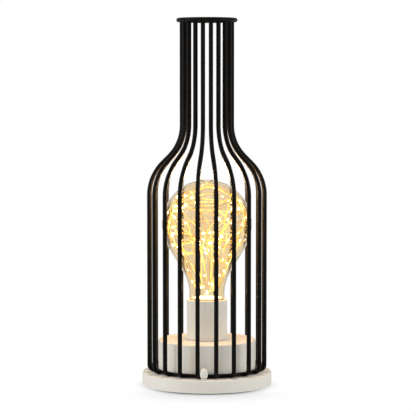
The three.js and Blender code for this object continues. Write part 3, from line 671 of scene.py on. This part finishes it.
def makePlug(look):
    low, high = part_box("bulb_plug")
    bore, cup, flangeEdge = inMetres(look, "bore", "cup", "flangeEdge")
    inner = cup - look["wall"] * mm
    roof = high.z - look["roof"] * mm
    flange = low.z + look["flange"] * mm
    profile = rounded([(bore, roof), (inner, roof), (inner, low.z), (high.x, low.z, flangeEdge),
                       (high.x, flange, flangeEdge), (cup, flange), (cup, high.z, look["edge"] * mm),
                       (bore, high.z)])
    mesh = turned(profile, look["segments"], closed=True)
    addPiece("bulbPlug", mesh, whitePlastic, ["bulb_plug"])


acorn = {"foot": 2.4, "radius": 3.4, "height": 8.6, "shoulder": 3.4, "shank": 1.2, "tip": 0.3, "steps": 12,
         "segments": 48}


def makeAcornScrews(look):
    foot, radius, shank = inMetres(look, "foot", "radius", "shank")
    for place in ("front", "back"):
        low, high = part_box(f"clip_screw_{place}")
        bottom = high.z - look["height"] * mm
        widest = bottom + look["shoulder"] * mm
        below = [Vector((foot + (radius - foot) * p.x, widest + (widest - bottom) * p.y))
                 for p in arc((0, 0), 1, -turn / 4, 0, look["steps"])]
        above = [Vector((radius * p.x, widest + (high.z - widest) * p.y))
                 for p in arc((0, 0), 1, 0, turn / 4, look["steps"])]
        above[-1].x = 0
        pin = rounded([(0, low.z), (shank, low.z, look["tip"] * mm), (shank, bottom)])
        mesh = turned(pin + below + above[1:], look["segments"])
        moved(mesh, *middleOf(f"clip_screw_{place}")[:2])
        addPiece(f"acornScrew.{place}", mesh, whitePlastic, [f"clip_screw_{place}"])


makeBase(base)
makeDrum(drum)
makeSocket(socket)
makePlug(plug)
makeAcornScrews(acorn)


# Globe: ball, tangent cone and bent-in neck, with one wall thickness all over

globe = {"neckRadius": 15.75, "wall": 0.5, "cone": 31,  # degrees from upright
         "neckBend": 40, "neckSteps": 10, "ballSteps": 40, "segments": 128}


def globeOutline(look, inset):
    low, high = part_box("bulb_globe")
    cone = math.radians(look["cone"])
    radius = high.x
    neck, bend = inMetres(look, "neckRadius", "neckBend")
    centre = high.z - radius
    coneBottom = neck + bend * (1 - math.cos(cone))
    coneHeight = (radius * math.cos(cone) - coneBottom) / math.tan(cone)
    neckTop = centre - radius * math.sin(cone) - coneHeight - bend * math.sin(cone)
    outline = [Vector((neck - inset, low.z))]
    outline += arc((neck + bend, neckTop), bend + inset, math.pi, math.pi - cone, look["neckSteps"])
    outline += arc((0, centre), radius - inset, -cone, turn / 4, look["ballSteps"])
    outline[-1].x = 0
    return outline


def makeGlobe(look):
    outside = globeOutline(look, 0)
    inside = globeOutline(look, look["wall"] * mm)
    mesh = turned(outside + inside[::-1], look["segments"], closed=True)
    addPiece("globe", mesh, globeFinish, ["bulb_globe"], sharp=60)


makeGlobe(globe)


# String of lights: a twisted pair wound in the globe from the inside out, with drops along it

string = {
    "turns": 19, "points": 90,  # points in each turn
    "inner": 33.6, "outer": 37.0,  # the first and the last turn's distance from the globe's centre
    "tilt": 0.45, "tiltSwing": 0.5, "tiltWaves": 0.31, "drift": 11 / 9,  # lean in radians, waves per turn
    "lift": 0.6, "liftWaves": 0.137,  # slow wander up and down, in radians, and its waves per turn
    "dips": 1.618, "dipDepth": 58, "dipRadius": 10, "dipSharpness": 60,  # turns between loops into the neck
    "strand": 0.24, "apart": 0.25, "lay": 5, "sides": 6,  # a strand's radius and its way off the middle
    "lights": 113, "dropRadius": 2, "dropStretch": 1.3, "dropSizes": (0.4, 1.2), "seed": 4,
    "dropSegments": 12, "dropRings": 8, "glowFalloff": 3.0,
    "boardEdge": 32.65, "boardHeight": 8.8, "rise": 27.55,  # lead from the board up past the tray
    "bendBelow": 4, "bendAbove": 9, "bendIn": 5, "leadSteps": (10, 14), "plugGap": 4,
    "climbStart": 0.6, "climbEnd": 0.5, "climbSteps": 24}  # ends are shares of the climb's height


def windingPoint(look, turns, centre):
    azimuth = turn * turns
    reach = look["inner"] + (look["outer"] - look["inner"]) * turns / look["turns"]
    tilt = look["tilt"] + look["tiltSwing"] * math.sin(azimuth * look["tiltWaves"])
    latitude = look["lift"] * math.sin(azimuth * look["liftWaves"]) - tilt * math.cos(azimuth * look["drift"])
    flat, height = reach * math.cos(latitude), reach * math.sin(latitude)
    # every one or two turns the string dips into the globe's neck and comes back up
    dip = max(0, math.cos(azimuth / look["dips"])) ** look["dipSharpness"]
    flat += (look["dipRadius"] - flat) * dip
    height += (-look["dipDepth"] - height) * dip
    return Vector((flat * math.cos(azimuth), flat * math.sin(azimuth), height)) * mm + centre


def bezier(a, b, c, d, steps):
    points = []
    for i in range(steps + 1):
        t = i / steps
        points.append(a * (1 - t) ** 3 + b * 3 * t * (1 - t) ** 2 + c * 3 * t * t * (1 - t) + d * t ** 3)
    return points


def lengthOf(points):
    return sum((b - a).length for a, b in zip(points, points[1:]))


def strandTree(look):
    tree, sizes = newTree("twistedPair", "strand", "apart", "lay", "spacing")
    line = pathCurve(tree, sizes)
    way = addNode(tree, "GeometryNodeSplineParameter").outputs["Length"]
    twist = calculate(tree, "MULTIPLY", calculate(tree, "DIVIDE", way, sizes["lay"]), turn)
    twisted = result(tree, "GeometryNodeSetCurveTilt", {"Curve": line, "Tilt": twist})
    # glow rises to 1 and falls to 0 once in each spacing of the lights: painted light on the wire, which its
    # material turns into a glow
    wave = calculate(tree, "PINGPONG", calculate(tree, "DIVIDE", way, sizes["spacing"]), 0.5)
    near = calculate(tree, "MULTIPLY_ADD", wave, -2.0, 1.0)
    glow = calculate(tree, "POWER", near, look["glowFalloff"])
    marked = result(tree, "GeometryNodeStoreNamedAttribute",
                    {"Geometry": twisted, "Name": "glow", "Value": glow}, data_type="FLOAT")
    section = circleCurve(tree, look["sides"], sizes["strand"])
    pair = []
    for side in (1.0, -1.0):
        aside = along(tree, x=calculate(tree, "MULTIPLY", sizes["apart"], side))
        pair.append(shifted(tree, section, aside))
    both = result(tree, "GeometryNodeJoinGeometry", {"Geometry": pair})
    endTree(tree, sizes, swept(tree, marked, both))
    return tree


def dropTree(look):
    tree, sizes = newTree("lightDrops", "spacing", "radius", "stretch", "smallest", "largest", whole=["seed"])
    line = pathCurve(tree, sizes)
    spots = addNode(tree, "GeometryNodeCurveToPoints",
                    {"Curve": line, "Length": sizes["spacing"]}, mode="LENGTH").outputs
    drop = result(tree, "GeometryNodeMeshUVSphere",
                  {"Segments": look["dropSegments"], "Rings": look["dropRings"], "Radius": sizes["radius"]})
    limits = {2: sizes["smallest"], 3: sizes["largest"], "Seed": sizes["seed"]}
    size = addNode(tree, "FunctionNodeRandomValue", limits, data_type="FLOAT").outputs[1]
    shape = along(tree, x=size, y=size, z=calculate(tree, "MULTIPLY", size, sizes["stretch"]))
    drops = instances(tree, spots[0], drop, rotation=spots["Rotation"], scale=shape)
    endTree(tree, sizes, drops)
    return tree


def leadPath(look, drumTop, plugTop):
    def place(x, z):
        return Vector((x * mm, 0, z))

    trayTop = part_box("battery_tray")[1].z
    first, second = look["leadSteps"]
    edge, rise, height = look["boardEdge"], look["rise"], look["boardHeight"] * mm
    bendStart = trayTop - look["bendBelow"] * mm
    lead = bezier(place(edge, height), place(rise, height), place(rise, height), place(rise, bendStart),
                  first)
    lead += bezier(place(rise, bendStart), place(rise, trayTop + look["bendAbove"] * mm),
                   place(0, trayTop + look["bendIn"] * mm), place(0, drumTop), second)[1:]
    lead.append(place(0, plugTop))
    return lead


def windingPath(look, centre, bottom):
    steps = look["turns"] * look["points"]
    winding = [windingPoint(look, i / look["points"], centre) for i in range(steps + 1)]
    heading = (winding[1] - winding[0]).normalized()
    rise = winding[0].z - bottom
    climb = bezier(Vector((0, 0, bottom)), Vector((0, 0, bottom + look["climbStart"] * rise)),
                   winding[0] - heading * look["climbEnd"] * rise, winding[0], look["climbSteps"])
    return climb[:-1] + winding


def makeString(look):
    low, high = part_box("bulb_globe")
    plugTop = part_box("bulb_plug")[1].z
    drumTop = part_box("battery_housing")[1].z
    gap = look["plugGap"] * mm
    lead = leadPath(look, drumTop, plugTop)
    inGlobe = windingPath(look, Vector((0, 0, high.z - high.x)), plugTop + gap)
    length = lengthOf(inGlobe)
    spacing = length / look["lights"]
    wire = grown(strandTree(look), pathMesh(lead + inGlobe), finish=copperWire, strand=look["strand"] * mm,
                 apart=look["apart"] * mm, lay=look["lay"] * mm, spacing=spacing)
    # the lights are counted from the plug up, so the path under it is left out of their tree
    smallest, largest = look["dropSizes"]
    drops = grown(dropTree(look), pathMesh(inGlobe), finish=lightDrop, spacing=spacing,
                  radius=look["dropRadius"] * mm, stretch=look["dropStretch"], smallest=smallest,
                  largest=largest, seed=look["seed"])
    addPiece("stringWire", wire, copperWire, ["light_string"], sharp=80)
    addPiece("stringLights", drops, lightDrop, ["light_string"], sharp=80)
    print("string:", round(length + lengthOf(lead) + gap, 2), "m,", look["lights"], "lights")


makeString(string)


# Pieces in the drum and the base: cells, contacts, tray, board, switch, nut, cover and door

cell = {"radius": 7.25, "length": 50.5, "edge": 0.7, "segments": 64,
        "button": 2.75, "buttonHeight": 1.2, "buttonFoot": 0.2, "buttonEdge": 0.4}


def makeCells(look):
    radius, button, length, edge = inMetres(look, "radius", "button", "length", "edge")
    body = length - look["buttonHeight"] * mm
    profile = rounded([(0, 0), (radius, 0, edge), (radius, body, edge),
                       (button, body, look["buttonFoot"] * mm), (button, length, look["buttonEdge"] * mm),
                       (0, length)])
    for index in range(3):
        name = f"battery_{index + 1}"
        low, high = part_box(name)
        x, y, z = middleOf(name)
        side = -1 if index % 2 == 0 else 1  # cells lie head to tail
        mesh = turned(profile, look["segments"])
        shares = [vertex.co.z / length for vertex in mesh.vertices]
        mesh.attributes.new("along", "FLOAT", "POINT").data.foreach_set("value", shares)
        flatEnd = high.y if side < 0 else low.y
        mesh.transform(Matrix.Translation((x, flatEnd, z)) @ Matrix.Rotation(-side * turn / 4, 4, "X"))
        addPiece(f"cell.{index + 1}", mesh, cellJacket, [name])


contact = {"plate": 0.5, "edge": 0.15, "wire": 0.4, "turns": 3.5, "wide": 4.2, "narrow": 2.4,
           "turnSteps": 28, "sides": 8,
           "springs": {"contact_positive": None, "contact_bridge_1": -15, "contact_bridge_2": 0,
                       "contact_negative": 15}}  # where the spring stands across the lamp


def springTree(look):
    tree, sizes = newTree("taperedSpring", "turns", "wide", "narrow", "height", "wire")
    spiral = result(tree, "GeometryNodeCurveSpiral",
                    {"Resolution": look["turnSteps"], "Rotations": sizes["turns"],
                     "Start Radius": sizes["wide"], "End Radius": sizes["narrow"],
                     "Height": sizes["height"]})
    endTree(tree, sizes, swept(tree, spiral, circleCurve(tree, look["sides"], sizes["wire"])))
    return tree


def makeContacts(look):
    tree = springTree(look)
    for node, springX in look["springs"].items():
        low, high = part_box(node)
        side = 1 if low.y + high.y > 0 else -1
        outer = high.y if side > 0 else low.y
        inner = outer - side * look["plate"] * mm
        front, back = min(inner, outer), max(inner, outer)
        mesh = bevelled(block((low.x, front, low.z), (high.x, back, high.z)), look["edge"] * mm)
        if springX is not None:
            height = high.y - low.y - (look["plate"] + 2 * look["wire"]) * mm
            coil = grown(tree, bpy.data.meshes.new("coil"), finish=nickelSteel, turns=look["turns"],
                         wide=look["wide"] * mm, narrow=look["narrow"] * mm, height=height,
                         wire=look["wire"] * mm)
            start = Vector((springX * mm, inner - side * look["wire"] * mm, middleOf(node)[2]))
            coil.transform(Matrix.Translation(start) @ Matrix.Rotation(side * turn / 4, 4, "X"))
            mesh = joined(mesh, coil)
        addPiece(node.replace("contact_", "contactPlate."), mesh, nickelSteel, [node])


# pieces that keep the solid's shape and get rounded edges: node, material, slot, body, width of the edge
softened = {
    "bottomCover": ("bottom_cover", whitePlastic, "white_abs", "lamp", 0.3),
    "batteryDoor": ("battery_door", whitePlastic, "white_abs", "door", 0.3),
    "hingePin": ("door_hinge_pin", zincSteel, "zinc_steel", "lamp", 0.15),
    "socketNut": ("socket_nut", whitePlastic, "white_abs", "lamp", 0.4),
    "cellTray": ("battery_tray", blackPlastic, "black_abs", "lamp", 0.2),
    "slideSwitch": ("switch_body", blackPlastic, "black_abs", "lamp", 0.15),
    "slideKnob": ("switch_knob", blackPlastic, "black_abs", "knob", 0.2),
    "circuitBoard": ("circuit_board", laminate, "circuit_laminate", "lamp", 0.1),
}


def makeSoftened(table):
    for name, (node, material, slot, body, width) in table.items():
        addPiece(name, softenedCopy(node, width * mm), material, [node], body, sharp=20)


makeCells(cell)
makeContacts(contact)
makeSoftened(softened)


# Screws and pads, each shaped once and set out on a circle

screw = {"head": 2.6, "headHeight": 1.2, "shank": 1.2, "edge": 0.5, "underEdge": 0.1, "tip": 0.3,
         "slotWidth": 0.7, "slotLength": 3.2, "slotDepth": 0.7, "segments": 32}
pad = {"radius": 5, "edge": 0.5, "segments": 48}


def circleTree():
    tree, sizes = newTree("setOnCircle", "radius", "firstAngle", "secondAngle")
    places = result(tree, "GeometryNodePoints", {"Count": 4})
    index = result(tree, "GeometryNodeInputIndex")
    # index 0 and 1 stand at the first and the second angle, 2 and 3 opposite to them
    pair = calculate(tree, "FLOOR", calculate(tree, "DIVIDE", index, 2.0))
    odd = calculate(tree, "MODULO", index, 2.0)
    step = calculate(tree, "SUBTRACT", sizes["secondAngle"], sizes["firstAngle"])
    lean = calculate(tree, "MULTIPLY_ADD", odd, step, sizes["firstAngle"])
    angle = calculate(tree, "MULTIPLY_ADD", pair, math.pi, lean)
    out = along(tree, x=sizes["radius"])
    one = shifted(tree, sizes["Geometry"], out)
    endTree(tree, sizes, instances(tree, places, one, rotation=along(tree, z=angle)))
    return tree


def screwMesh(look, low, high):
    head, shank = inMetres(look, "head", "shank")
    under = low + look["headHeight"] * mm
    profile = rounded([(0, low), (head, low, look["edge"] * mm), (head, under, look["underEdge"] * mm),
                       (shank, under), (shank, high, look["tip"] * mm), (0, high)])
    width, length = look["slotWidth"] * mm / 2, look["slotLength"] * mm / 2
    depth = low + look["slotDepth"] * mm
    slots = [block((-x, -y, low - mm), (x, y, depth)) for x, y in ((width, length), (length, width))]
    return carved(turned(profile, look["segments"]), slots)


def makeScrews(look, tree):
    for name, node in (("coverScrews", "cover_screw"), ("drumScrews", "housing_screw")):
        low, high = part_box(f"{node}_1")
        x, y = middleOf(f"{node}_1")[:2]
        angle = math.atan2(y, x)
        mesh = grown(tree, screwMesh(look, low.z, high.z), finish=zincSteel, radius=math.hypot(x, y),
                     firstAngle=angle, secondAngle=-angle)
        addPiece(name, mesh, zincSteel, [f"{node}_{i}" for i in range(1, 5)])


def makePads(look, tree):
    low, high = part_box("foot_pad_1")
    radius, edge = inMetres(look, "radius", "edge")
    profile = rounded([(0, low.z), (radius, low.z, edge), (radius, high.z, edge), (0, high.z)])
    mesh = grown(tree, turned(profile, look["segments"]), finish=padFoam, radius=middleOf("foot_pad_1")[0],
                 firstAngle=0.0, secondAngle=turn / 4)
    addPiece("footPads", mesh, padFoam, [f"foot_pad_{i}" for i in range(1, 5)])


onCircle = circleTree()
makeScrews(screw, onCircle)
makePads(pad, onCircle)


# Studio: white floor with a painted soft shadow, white surround, two soft boxes and the lamp's own light
# Places and sizes of the studio are in metres, reach of the shadows, rises and radii in millimetres

studio = {"floorSize": 2, "floorTone": "#e8e8e6", "surround": 0.5, "shadowSamples": 16, "shadows": (
    {"reach": 9, "depth": 0.45, "lean": 0, "begins": 0.9, "full": -0.7},
    {"reach": 60, "depth": 0.85, "lean": 8, "begins": -0.5, "full": -0.9})}


def showsBackground(tree):
    rays = addNode(tree, "ShaderNodeLightPath").outputs
    first = calculate(tree, "MAXIMUM", rays["Is Camera Ray"], rays["Is Singular Ray"])
    return calculate(tree, "MAXIMUM", first, rays["Is Transmission Ray"])


def paperSweep(look):
    material, tree = newMaterial("paperSweep")
    paper = result(tree, "ShaderNodeBsdfDiffuse", {"Color": linear(look["floorTone"])})
    # seen directly the sheet is as white as the surround, but for a painted shadow of the lamp, dimmed where
    # the lamp is near:
    # a short one where it touches and a long one that falls forwards
    # way is 1 behind the lamp, 0 beside it and -1 in front of it; begins and full are values of it
    heading = result(tree, "ShaderNodeVectorMath", {0: objectPlace(tree)}, operation="NORMALIZE")
    way = addNode(tree, "ShaderNodeSeparateXYZ", {0: heading}).outputs["Y"]
    level = 1.0
    # each shadow is painted: the sheet's white is dimmed by how much of the lamp is close by, not by a lamp
    for shadow in look["shadows"]:
        leaning = Vector((0, shadow["lean"], 1)).normalized()
        near = {"Distance": shadow["reach"] * mm, "Normal": leaning}
        openness = addNode(tree, "ShaderNodeAmbientOcclusion", near, samples=look["shadowSamples"])
        darkest = ranged(tree, way, (1.0, 1 - shadow["depth"]), (shadow["begins"], shadow["full"]))
        level = calculate(tree, "MULTIPLY", level, ranged(tree, openness.outputs["AO"], (darkest, 1.0)))
    white = result(tree, "ShaderNodeEmission", {"Color": pureWhite, "Strength": level})
    sheet = mixShader(tree, showsBackground(tree), paper, white)
    # from below the sheet is clear, so that the underside and its door can be looked at
    below = addNode(tree, "ShaderNodeNewGeometry").outputs["Backfacing"]
    clear = result(tree, "ShaderNodeBsdfTransparent", {"Color": pureWhite})
    endMaterial(tree, mixShader(tree, below, sheet, clear))
    return material


def makeFloor(look):
    shape = bmesh.new()
    bmesh.ops.create_grid(shape, x_segments=1, y_segments=1, size=look["floorSize"] / 2)
    floor = placed("floor", meshOf(shape))
    floor.data.materials.append(paperSweep(look))
    floor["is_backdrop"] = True


def makeSurround(look):
    world = bpy.data.worlds.new("whiteSurround")
    scene.world = world
    world.use_nodes = True
    tree = world.node_tree
    tree.nodes.clear()
    soft = result(tree, "ShaderNodeBackground", {"Color": pureWhite, "Strength": look["surround"]})
    white = result(tree, "ShaderNodeBackground", {"Color": pureWhite, "Strength": 1.0})
    both = mixShader(tree, showsBackground(tree), soft, white)
    addNode(tree, "ShaderNodeOutputWorld", {"Surface": both})


def addLight(name, kind, place, power, colour="#ffffff"):
    light = bpy.data.lights.new(name, kind)
    light.energy = power
    light.color = linear(colour)[:3]
    lamp = placed(name, light)
    lamp.location = place
    lamp.visible_camera = False
    lamp.visible_transmission = False
    return lamp


aim = Vector((0, 0, 0.15))  # the area lights above the floor point at the middle of the lamp


def aimed(lamp, place):
    lamp.rotation_euler = (aim - Vector(place)).to_track_quat("-Z", "Y").to_euler()


def gathered(name, chosen):
    group = bpy.data.collections.new(name)
    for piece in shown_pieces():
        if chosen(piece.name):
            group.objects.link(piece)
    return group


softBoxes = {"left": {"place": (-1.5, -0.5, 0.7), "size": (0.7, 1.2), "power": 14},
             "right": {"place": (1.5, -0.4, 0.7), "size": (0.7, 1.2), "power": 11}}


def makeSoftBoxes(look):
    for name, box in look.items():
        lamp = addLight("softBox." + name, "AREA", box["place"], box["power"])
        lamp.data.shape = "RECTANGLE"
        lamp.data.size, lamp.data.size_y = box["size"]
        aimed(lamp, box["place"])


# The string's own light reaches the lamp only, so that the floor keeps a neutral white, and the dark cage
# gets more of it, as its gold edges show. The clear globe would mirror the lights, so it gets none.
ownLight = {"warm": "#ffdfb4", "glowPower": 0.95, "glowRadius": 34, "neckPower": 0.03, "neckRise": 8,
            "neckRadius": 4, "cagePower": 3.6, "cageRise": 25}


def makeOwnLight(look, lampPieces):
    low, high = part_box("bulb_globe")
    middle = high.z - high.x
    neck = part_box("bulb_plug")[1].z + look["neckRise"] * mm
    cagePieces = gathered("cagePieces", lambda name: name in ("cageWires", "lowerRing"))
    for name, height, power, radius, reached in (
            ("string", middle, look["glowPower"], look["glowRadius"], lampPieces),
            ("cage", middle + look["cageRise"] * mm, look["cagePower"], look["glowRadius"], cagePieces),
            ("neck", neck, look["neckPower"], look["neckRadius"], lampPieces)):
        glow = addLight(name + "Glow", "POINT", (0, 0, height), power, look["warm"])
        glow.data.shadow_soft_size = radius * mm
        glow.light_linking.receiver_collection = reached


# A small warm light through the cage puts the soft stripes of the wires on the drum
drumStripes = {"power": 1.3, "place": (-0.6, -0.85, 0.35), "size": 0.25, "colour": "#ffdfb4"}


def makeDrumStripes(look):
    stripes = addLight("drumStripes", "AREA", look["place"], look["power"], look["colour"])
    stripes.data.size = look["size"]
    aimed(stripes, look["place"])
    stripes.light_linking.receiver_collection = gathered("drumPieces", lambda name: name == "batteryDrum")


# A light under the floor, which it passes, for looks at the underside
underGlow = {"power": 0.9, "place": (0, 0, -0.5), "size": 0.1}


def makeUnderGlow(look, lampPieces):
    under = addLight("underGlow", "AREA", look["place"], look["power"])
    under.data.size = look["size"]
    under.rotation_euler = (math.pi, 0, 0)
    under.light_linking.receiver_collection = lampPieces
    under.light_linking.blocker_collection = lampPieces


photoCamera = {"place": (0.00095, -1.660, 0.271), "tilt": 86.1, "lens": 161.9, "sensor": 36}


def makeCamera(look):
    camera = bpy.data.cameras.new("photoCamera")
    camera.lens = look["lens"]
    camera.sensor_width = look["sensor"]
    viewer = placed("photoCamera", camera)
    viewer.location = look["place"]
    viewer.rotation_euler = (math.radians(look["tilt"]), 0, 0)
    scene.camera = viewer


makeFloor(studio)
makeSurround(studio)
makeSoftBoxes(softBoxes)
glowing = gathered("lampPieces", lambda name: name != "globe")
makeOwnLight(ownLight, glowing)
makeDrumStripes(drumStripes)
makeUnderGlow(underGlow, glowing)
makeCamera(photoCamera)
scene.view_settings.view_transform = "Standard"
print("studio:", len(bpy.data.lights), "lights")
